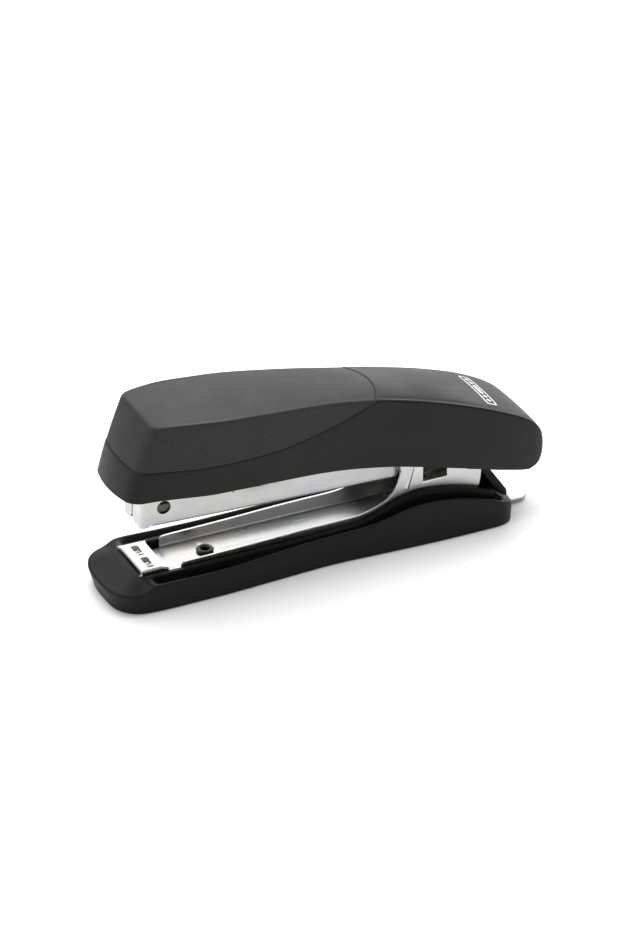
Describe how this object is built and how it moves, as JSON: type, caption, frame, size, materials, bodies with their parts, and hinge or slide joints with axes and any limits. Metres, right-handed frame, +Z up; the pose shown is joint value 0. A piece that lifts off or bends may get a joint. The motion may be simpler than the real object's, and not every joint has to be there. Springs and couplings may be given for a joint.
{
  "type": "desk stapler",
  "caption": "Desk stapler with a plastic base shell, steel channel, sprung magazine and a hinged cover with a textured panel.",
  "frame": {"origin": "on the table, under the middle of the stapler's overall box", "axes": "-X towards the nose, +X towards the tail, +Y across the width, +Z up"},
  "size_m": [0.165, 0.036, 0.0702],
  "materials": {
    "black_plastic": "satin moulded",
    "grey_plastic": "fine grained",
    "zinc_steel": "bright zinc plated",
    "spring_steel": "dark drawn wire",
    "black_oxide": "blackened steel",
    "staple_wire": "galvanised wire",
    "white_print": "printed badge"
  },
  "bodies": {
    "base": {"base_shell": "black_plastic", "base_channel": "zinc_steel", "anvil_plate": "zinc_steel", "front_eyelet": "black_oxide", "rear_eyelet": "black_oxide", "remover_tongue": "zinc_steel", "pivot_pin": "zinc_steel", "return_spring": "spring_steel"},
    "magazine": {"magazine_channel": "zinc_steel", "staple_rail": "zinc_steel", "staple_strip": "staple_wire", "guide_rod": "zinc_steel", "pusher_spring": "spring_steel", "rear_bracket": "zinc_steel"},
    "pusher": {"pusher": "black_oxide"},
    "handle": {"handle_arm": "zinc_steel", "driver_blade": "spring_steel", "driver_rivet_left": "zinc_steel", "driver_rivet_right": "zinc_steel", "handle_spring": "spring_steel", "spring_rivet": "zinc_steel", "top_cover": "black_plastic", "cover_panel": "grey_plastic"}
  },
  "joints": [
    {"name": "magazine_hinge", "type": "hinge", "parent": "base", "child": "magazine", "pos_m": [0.054, 0, 0.032], "axis": [0, -1, 0], "range_deg": [0, 6.6], "stiffness_Nm_per_rad": 0.5, "springref_deg": -20.05, "deforming": ["return_spring"]},
    {"name": "handle_hinge", "type": "hinge", "parent": "magazine", "child": "handle", "pos_m": [0.054, 0, 0.032], "axis": [0, -1, 0], "range_deg": [-20, 3.7], "stiffness_Nm_per_rad": 1.2, "springref_deg": -1.35, "deforming": ["handle_spring"]},
    {"name": "pusher_slide", "type": "slide", "parent": "magazine", "child": "pusher", "axis": [0.9993, 0, -0.0384], "range_m": [0, 0.038], "stiffness_N_per_m": 40, "springref_m": -0.02, "deforming": ["pusher_spring"]}
  ]
}
